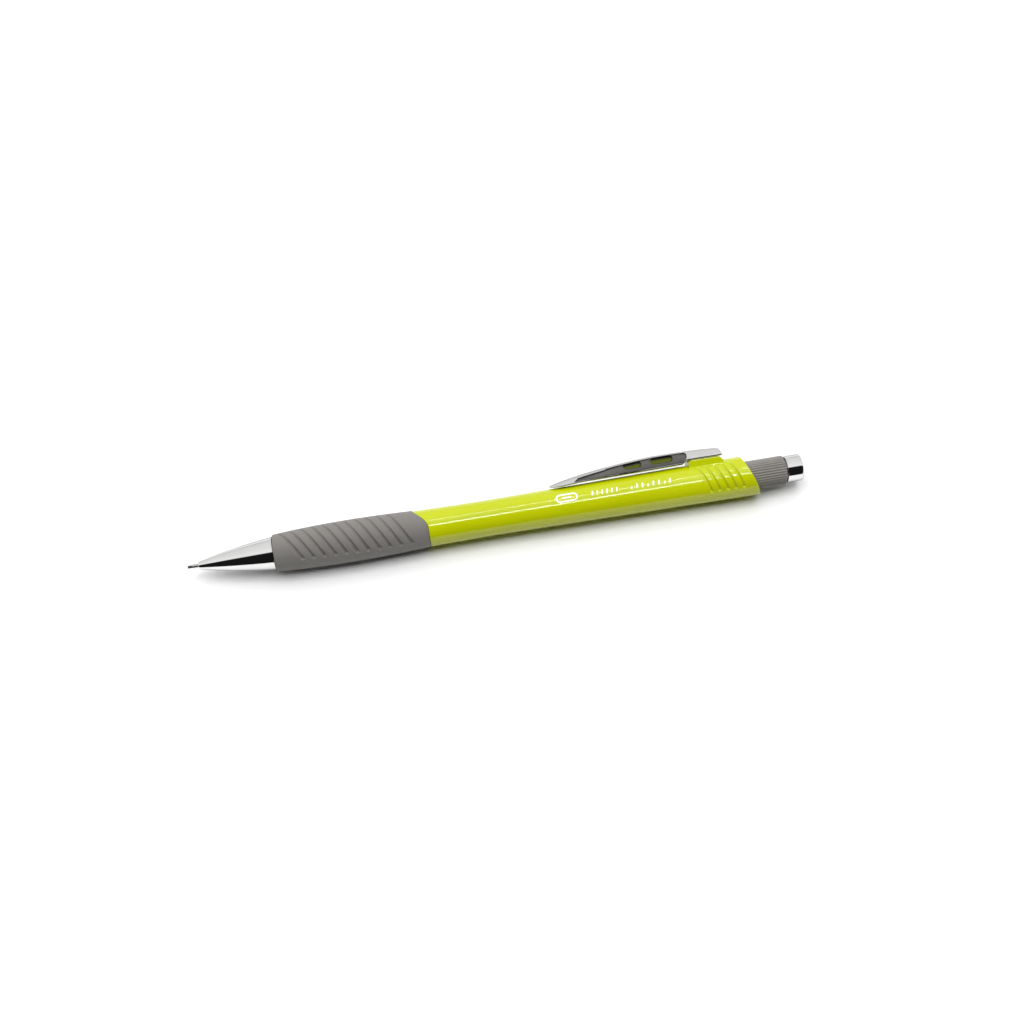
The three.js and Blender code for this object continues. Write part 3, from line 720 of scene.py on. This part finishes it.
def cone_inside():
    """From the collar's rear edge through the stepped bore to the front, as (x, radius)."""
    rooms = [CHUCK_ROOM, CLUTCH_ROOM, NECK, RETAINER_ROOM]
    steps = [(COLLAR_REAR - 0.1, THREAD_ROOT), (COLLAR_REAR, THREAD_ROOT - 0.1), (COLLAR_REAR, 2.6)]
    for (x, radius), (_, narrower) in zip(rooms, [*rooms[1:], (None, SLEEVE_HOLE)]):
        steps += [(x, radius), (x, narrower)]
    return [*steps, (CONE_FRONT, SLEEVE_HOLE)]


def make_nose_cone():
    angles = np.arange(SIDES) * 2 * math.pi / SIDES
    outside, inside = np.array(cone_outside()), np.array(cone_inside())
    thread = np.arange(CONE_REAR + 0.65, COLLAR_REAR - 0.6, THREAD_PITCH / THREAD_STEPS)
    turn = (thread[:, None] / THREAD_PITCH - angles / (2 * math.pi)) % 1
    rise = smoothstep(thread, thread[0], thread[0] + THREAD_FADE)
    fall = smoothstep(-thread, -thread[-1], THREAD_FADE - thread[-1])
    crest = THREAD_DEPTH * (1 - np.abs(2 * turn - 1)) * (rise * fall)[:, None]
    level = 0 * angles
    x = np.concatenate((outside[:, :1] + level, thread[:, None] + level, inside[:, :1] + level))
    radius = np.concatenate((outside[:, 1:] + level, THREAD_ROOT + crest, inside[:, 1:] + level))
    cone = wound("nose_cone_shell", x, radius, angles, "chrome", 50)
    stand_in(cone, "nose", "nose_cone")


PIPE_BORE = 0.4


def make_point():
    front, rear = span("lead_sleeve")
    radius = reach("lead_sleeve")
    pipe = rounded([
        (front, radius, 0.06),
        (rear, radius, 0),
        (rear, PIPE_BORE, 0),
        (front, PIPE_BORE, 0.02),
    ])
    stand_in(turned("guide_pipe", pipe, "steel", 64), "nose", "lead_sleeve")
    front, rear = span("writing_lead")
    radius = reach("writing_lead")
    stick = [(front, 0), (front, radius * 0.55), (front + 0.04, radius * 0.86), (front + 0.16, radius)]
    stick += [(rear, radius), (rear, 0)]
    stand_in(turned("lead_in_use", stick, "graphite", 48), "lead", "writing_lead")


# ---- Clip ----

CLIP_TIP, CLIP_REAR = span("clip")
CLIP_BOTTOM = 5.9
CLIP_HALF_WIDTH = 2.5
CLIP_DRAFT = 0.55  # how far each flank leans in on its way up
CLIP_FULL_DRAFT = 2.4  # the flank's height at which it leans in that far
CLIP_LOW_EDGE = 0.3
CLIP_TOP_EDGE = 0.45
SPOON_LENGTH = 4.6
ARM_REAR = 116.2  # where the arm's underside leaves the barrel
ROOT_FRONT = 117.3
REAR_ROUNDING = 0.35
RECESS_DEPTH = 0.55
RECESS_FRONT = 90.4
RECESS_REAR = 117.5
RECESS_CORNER = 1.1
RECESS_RIM = (0.38, 0.12)  # over the recess, at its front and at its rear
RECESS_SILL = 0.42  # under the recess
FLANK_WALL = 0.6  # nothing is cut nearer to the clip's middle plane than this
WINDOWS = [(104.6, 6.85, 4.2), (111.6, 7.0, 5.2)]  # middle x, middle z, length
WINDOW_HEIGHT = 1.4
WINDOW_DEPTH = 1.5
RIB_HALF_WIDTH = 1.0


def bend(start, pull, end, steps=24):
    """A quadratic curve's points."""
    t = np.linspace(0, 1, steps)[:, None]
    start, pull, end = (np.array(p, float) for p in (start, pull, end))
    return (1 - t) ** 2 * start + 2 * t * (1 - t) * pull + t**2 * end


def clip_top(x):
    crest = (110, 8.05)
    front = bend((CLIP_TIP, 4.95), (96, 7.5), crest)
    rear = bend(crest, (118, 8.15), (CLIP_REAR, 7.62))
    line = np.concatenate((front, rear[1:]))
    return np.interp(x, line[:, 0], line[:, 1])


def clip_under(x):
    """The underside: a small gap over the barrel, then up to the boss where the root starts."""
    gaps = [(CLIP_TIP, 0.3), (CLIP_TIP + 0.9, 0.25), (87.6, 0.2), (92.5, 0.45), (ARM_REAR, 0.45)]
    along = [at for at, _ in gaps] + [ROOT_FRONT, CLIP_REAR]
    heights = [barrel_radius(np.array(at)) + gap for at, gap in gaps]
    return np.interp(x, along, [*heights, CLIP_BOTTOM, CLIP_BOTTOM])


def clip_recess(x, z):
    """Distance inside the recess's edge, negative outside it."""
    front_rim, rear_rim = RECESS_RIM
    rim = rear_rim + (front_rim - rear_rim) * smoothstep(-x, -104, -92)
    roof = clip_top(x) - rim
    floor = clip_under(x) + RECESS_SILL
    front = RECESS_FRONT + 1.6 * smoothstep(z, 5.0, 6.4)
    middle = (floor + roof) / 2
    tall = np.maximum((roof - floor) / 2, 0.05)
    corner = np.minimum(RECESS_CORNER, tall)
    away_x = np.maximum(x - (RECESS_REAR - corner), 0)
    away_z = np.maximum(np.abs(z - middle) - (tall - corner), 0)
    inside = corner - np.hypot(away_x, away_z)
    return np.minimum(inside, np.minimum(x - front, np.minimum(z - floor, roof - z)))


def clip_window(x, z):
    """Distance inside the nearest window's edge."""
    best = np.full(np.broadcast(x, z).shape, -9.0)
    for middle, height, length in WINDOWS:
        reach_x = length / 2 - WINDOW_HEIGHT / 2
        off = np.hypot(np.maximum(np.abs(x - middle) - reach_x, 0), z - height)
        best = np.maximum(best, WINDOW_HEIGHT / 2 - off)
    return best


def make_clip():
    stations = np.concatenate((
        CLIP_TIP + SPOON_LENGTH * (1 - np.cos(np.linspace(0.02, math.pi / 2, 40))),
        spaced([CLIP_TIP + SPOON_LENGTH + 0.1, (RECESS_FRONT - 0.4, 0.2), (94, 0.07), (102, 0.25)])[1:],
        spaced([102.1, (114.6, 0.07), (116.5, 0.2), (119, 0.07), (CLIP_REAR - 0.4, 0.3)]),
        CLIP_REAR - REAR_ROUNDING * (1 - np.sin(np.linspace(0, math.pi / 2, 6)[1:])),
    ))[:, None]
    top, under = clip_top(stations), clip_under(stations)
    spoon = np.clip((stations - CLIP_TIP) / SPOON_LENGTH, 0, 1)
    width = CLIP_HALF_WIDTH * np.sqrt(1 - (1 - spoon) ** 2)
    tail = np.clip((CLIP_REAR - stations) / REAR_ROUNDING, 0, 1)
    rounding = REAR_ROUNDING * (1 - np.sqrt(1 - (1 - tail) ** 2))
    width, top, under = width - rounding, top - rounding, under + rounding
    tall = top - under
    low_edge = np.minimum(CLIP_LOW_EDGE, tall / 4)
    top_edge = np.minimum(CLIP_TOP_EDGE, tall / 3)
    draft = CLIP_DRAFT * np.minimum(tall / CLIP_FULL_DRAFT, 1)

    # One half of the section: along the underside, up the flank, over the top to the middle.
    turn = np.linspace(0, math.pi / 2, 5)[None, :]
    flank = np.linspace(0, 1, 50)[None, 1:-1]
    bottom_y = (width - low_edge) * np.linspace(0, 1, 5)[None, :-1]
    bottom_z = under + 0 * bottom_y
    corner_y = width - low_edge * (1 - np.sin(turn))
    corner_z = under + low_edge * (1 - np.cos(turn))
    flank_z = under + low_edge + (tall - low_edge - top_edge) * flank
    flank_y = width - draft * flank**1.4
    shoulder_y = np.maximum(width - draft - top_edge * (1 - np.cos(turn)), 0)
    shoulder_z = top - top_edge * (1 - np.sin(turn))
    crown = (1 - np.linspace(0, 1, 5)[None, 1:]) * np.maximum(width - draft - top_edge, 0)
    crown_z = top + 0 * crown
    y = np.concatenate((bottom_y, corner_y, flank_y, shoulder_y, crown), 1)
    z = np.concatenate((bottom_z, corner_z, flank_z, shoulder_z, crown_z), 1)
    x = stations + 0 * y

    recess = smoothstep(clip_recess(x, z), 0, 0.14) * RECESS_DEPTH
    window = smoothstep(clip_window(x, z), -0.04, 0.05) * (WINDOW_DEPTH - RECESS_DEPTH)
    sunk = recess + window * (recess > 0.5 * RECESS_DEPTH)
    on_flank = (y > 0.8 * (width - draft - 0.4)) & (sunk > 0)
    y = np.where(on_flank, np.maximum(y - sunk, FLANK_WALL), y)
    x = x - CUT_SLOPE * (z - CLIP_BOTTOM) * smoothstep(x, 120, CLIP_REAR)

    points = np.concatenate((
        np.stack((x, y, z), -1),
        np.stack((x, -y, z), -1)[:, -2:0:-1],
    ), 1)
    faces = capped_faces(*points.shape[:2])
    clip = add_object("clip_arm", points.reshape(-1, 3), faces, "plated", 45)
    # second slot: the recess's darker satin, which paints the shade in it
    clip.data.materials.append(MATERIALS["satin_painted_shade"])
    paint_recess(clip)
    stand_in(clip, "clip", "clip")


def paint_recess(clip):
    """Gives the satin material, darkened as painted shade, to the faces whose corners all lie in the
    recess.
    """
    placed = from_frame([v.co for v in clip.data.vertices])
    deep = clip_recess(placed[:, 0], placed[:, 2]) > -0.02
    for face in clip.data.polygons:
        if all(deep[i] for i in face.vertices):
            face.material_index = 1


def make_clip_core():
    """The lime rib inside the clip, which the windows look at; its dark lime colour is painted shade."""
    outline = np.concatenate((
        [(100, 5.85), (116.5, 6.2)],
        bend((116.5, 7.08), (112, 7.25), (108, 7.1), 10),
        bend((108, 7.1), (103, 6.7), (100, 6.25), 10)[1:],
    ))
    half, edge = RIB_HALF_WIDTH, 0.15
    centre = outline.mean(0)
    inset = outline + (centre - outline) * edge / 2
    rings = [(inset, -half), (outline, -half + edge), (outline, half - edge), (inset, half)]
    points = np.array([[(x, y, z) for x, z in ring] for ring, y in rings])
    faces = capped_faces(*points.shape[:2])
    # the rib's darker lime is painted shade
    core = add_object("clip_rib", points.reshape(-1, 3), faces, "lime_painted_shade")
    stand_in(core, "clip", "clip_core")


# ---- Knurled sleeve, end ring and eraser ----

RIBS = 34
RIB_DEPTH = 0.24
TWIST_FRONT, TWIST_REAR = span("twist_sleeve")
TWIST_RADIUS = 3.4
TWIST_BORE = 2.55
TWIST_CHAMFER = 0.42
RING_OPENING = 2.05
ERASER_RADIUS = 1.72


def make_twist_sleeve():
    columns = RIBS * 12
    angles = np.arange(columns) * 2 * math.pi / columns
    valley = np.abs(np.cos(RIBS * angles / 2)) ** 3
    outer = TWIST_RADIUS - RIB_DEPTH * valley
    rows = [
        (TWIST_FRONT, TWIST_RADIUS - TWIST_CHAMFER + 0 * angles),
        (TWIST_FRONT + TWIST_CHAMFER, outer),
    ]
    rows += [(at, outer) for at in np.linspace(TWIST_FRONT + 1, TWIST_REAR - 1, 6)]
    rows += [
        (TWIST_REAR - TWIST_CHAMFER, outer),
        (TWIST_REAR - TWIST_CHAMFER + 0.08, outer - 0.03),
        (TWIST_REAR - 0.08, TWIST_RADIUS - 0.62 + 0 * angles),
        (TWIST_REAR, TWIST_RADIUS - 0.7 + 0 * angles),
        (TWIST_REAR, TWIST_BORE + 0 * angles),
        (TWIST_FRONT, TWIST_BORE + 0 * angles),
    ]
    x = np.array([row[0] + 0 * angles for row in rows])
    radius = np.array([row[1] for row in rows])
    sleeve = wound("knurled_sleeve", x, radius, angles, "grey", 60)
    stand_in(sleeve, "twist", "twist_sleeve")


def make_end_ring():
    front, rear = span("end_ring")
    radius = reach("end_ring")
    ring_front = TWIST_REAR + 0.1
    spigot = TWIST_BORE - 0.05
    profile = rounded([
        (front, spigot, 0.08),
        (ring_front, spigot, 0),
        (ring_front, radius - 0.06, 0.12),
        (ring_front + 0.5, radius, 0.3),
        (rear, radius, 0.5),
        (rear, RING_OPENING, 0.15),
        (front, RING_OPENING, 0),
    ], 8)
    stand_in(turned("end_ring_shell", profile, "chrome"), "twist", "end_ring")


def make_eraser():
    front, rear = span("eraser")
    stick = [(front, 0), (front, ERASER_RADIUS), (rear - 0.5, ERASER_RADIUS)]
    stick += [(rear - 0.2, 1.66), (rear - 0.05, 1.45), (rear, 1.1), (rear, 0)]
    stand_in(turned("eraser_stick", stick, "eraser", 96), "eraser", "eraser")


# ---- Chuck spring, which the button squeezes ----

WIRE_RADIUS = 0.2
SPRING_RADIUS = 1.75  # of the coil's centre line
SPRING_TURNS = 6.5


def make_spring():
    front, rear = span("chuck_spring")
    t = np.linspace(0, 1, 360)
    angle = 2 * math.pi * SPRING_TURNS * t
    climb = rear - front - 2 * WIRE_RADIUS
    centre = polar(front + WIRE_RADIUS + climb * t, SPRING_RADIUS, angle)
    outward = polar(0 * t, 1, angle)
    along = np.gradient(centre, axis=0)
    along /= np.linalg.norm(along, axis=1, keepdims=True)
    beside = np.cross(along, outward)
    turn = (np.arange(12) * 2 * math.pi / 12)[None, :, None]
    wire = WIRE_RADIUS * (np.cos(turn) * outward[:, None] + np.sin(turn) * beside[:, None])
    points = centre[:, None] + wire
    faces = capped_faces(*points.shape[:2])
    coil = add_object("spring_coil", points.reshape(-1, 3), faces, "steel")
    stand_in(coil, "barrel", "chuck_spring")
    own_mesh(coil)


# ---- CAD nodes that keep their shape ----

KEPT = {
    "lead_retainer": "rubber",
    "chuck": "brass",
    "clutch_ring": "brass",
    "clutch_sleeve": "brass",
    "tube_connector": "natural",
    "grip_core": "grey",
    "lead_tube": "natural",
    "rear_bush": "natural",
    "spare_lead_1": "graphite",
    "spare_lead_2": "graphite",
    "spare_lead_3": "graphite",
    "slotted_guide": "natural",
    "friction_ring": "rubber",
    "eraser_holder": "grey",
}


def finish_kept_nodes():
    for node, material in KEPT.items():
        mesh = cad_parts[node].data
        mesh.materials.clear()
        mesh.materials.append(MATERIALS[material])
        mesh.shade_smooth()
        mesh.set_sharp_from_angle(angle=math.radians(35))


# ---- Setting: floor, world and lights ----

FLOOR_SIZE = 20.0
BACKDROP_LEVEL = 0.55
# The dome's brightness by degrees from the horizon behind the pencil, over the top, to the near one.
DOME = [(0, 0.62), (6, 0.72), (18, 0.84), (60, 0.9), (90, 1.0), (102, 1.0), (106, 0.01), (180, 0.01)]
STRIPS = [(71, 0.006, 0.4), (101, 0.008, 0.9)]  # degrees up from behind, thickness and power
STRIP_LENGTH = 0.42
STRIP_X = 0.13
STRIP_DISTANCE = 0.5


def make_floor():
    mesh = bpy.data.meshes.new("floor")
    half = FLOOR_SIZE / 2
    corners = [(-half, -half, 0), (half, -half, 0), (half, half, 0), (-half, half, 0)]
    mesh.from_pydata(corners, [], [(0, 1, 2, 3)])
    paper = Shader("floor", (0.93, 0.93, 0.93), 0.9)
    paper.colours(paper.ranged(paper.noise(0.02, 4), 0, 1), (0.925, 0.925, 0.925), (0.935, 0.935, 0.935))
    paper.shader.inputs["Specular IOR Level"].default_value = 0
    mesh.materials.append(paper.material)
    floor = bpy.data.objects.new("floor", mesh)
    bpy.context.scene.collection.objects.link(floor)


def make_world():
    """A dome, bright over and behind the pencil, and the plain pale backdrop that the camera sees."""
    world = bpy.data.worlds.new("studio")
    bpy.context.scene.world = world
    world.use_nodes = True
    nodes, links = world.node_tree.nodes, world.node_tree.links
    place = nodes.new("ShaderNodeTexCoord").outputs["Generated"]
    split = nodes.new("ShaderNodeSeparateXYZ")
    links.new(place, split.inputs["Vector"])
    turn = nodes.new("ShaderNodeMath")
    turn.operation = "ARCTAN2"
    links.new(split.outputs["Z"], turn.inputs[0])
    links.new(split.outputs["Y"], turn.inputs[1])
    ramp = nodes.new("ShaderNodeValToRGB")
    scale = nodes.new("ShaderNodeMapRange")
    scale.inputs["From Min"].default_value = 0
    scale.inputs["From Max"].default_value = math.pi
    links.new(turn.outputs["Value"], scale.inputs["Value"])
    links.new(scale.outputs["Result"], ramp.inputs["Fac"])
    elements = ramp.color_ramp.elements
    while len(elements) < len(DOME):
        elements.new(0.5)
    for element, (degrees, level) in zip(elements, DOME):
        element.position = degrees / 180
        element.color = (level, level, level, 1)
    backdrop = nodes.new("ShaderNodeMix")
    backdrop.data_type = "RGBA"
    backdrop.inputs["B"].default_value = (BACKDROP_LEVEL, BACKDROP_LEVEL, BACKDROP_LEVEL, 1)
    links.new(nodes.new("ShaderNodeLightPath").outputs["Is Camera Ray"], backdrop.inputs["Factor"])
    links.new(ramp.outputs["Color"], backdrop.inputs["A"])
    background = nodes["Background"]
    links.new(backdrop.outputs["Result"], background.inputs["Color"])
    background.inputs["Strength"].default_value = 1.0


def add_light(name, place, aim, size, power, shows=True):
    data = bpy.data.lights.new(name, "AREA")
    data.shape = "RECTANGLE"
    data.size, data.size_y = size
    data.energy = power
    light = bpy.data.objects.new(name, data)
    light.location = place
    light.rotation_mode = "QUATERNION"
    light.rotation_quaternion = (Vector(aim) - Vector(place)).to_track_quat("-Z", "Y")
    light.visible_glossy = shows
    bpy.context.scene.collection.objects.link(light)
    return light


def make_lights():
    """Two soft lamps for everything, and two strips that only draw the barrel's long highlights."""
    add_light("key", (0.0, 0.36, 0.78), (0, 0, 0), (0.9, 0.5), 2.5, shows=False)
    add_light("top", (0.0, 0.02, 0.8), (0, 0, 0), (0.9, 0.4), 3.7, shows=False)
    lit = bpy.data.collections.new("lit_by_strips")
    lit.objects.link(bpy.data.objects["barrel_shell"])
    for degrees, thickness, power in STRIPS:
        turn = math.radians(degrees)
        place = (STRIP_X, STRIP_DISTANCE * math.cos(turn), STRIP_DISTANCE * math.sin(turn))
        strip = add_light(f"strip_{degrees}", place, (STRIP_X, 0, 0), (STRIP_LENGTH, thickness), power)
        strip.light_linking.receiver_collection = lit


make_grip()
make_barrel()
make_print()
make_nose_cone()
make_point()
make_clip()
make_clip_core()
make_twist_sleeve()
make_end_ring()
make_eraser()
make_spring()
finish_kept_nodes()
make_floor()
make_world()
make_lights()

bpy.context.scene.view_settings.view_transform = "Standard"
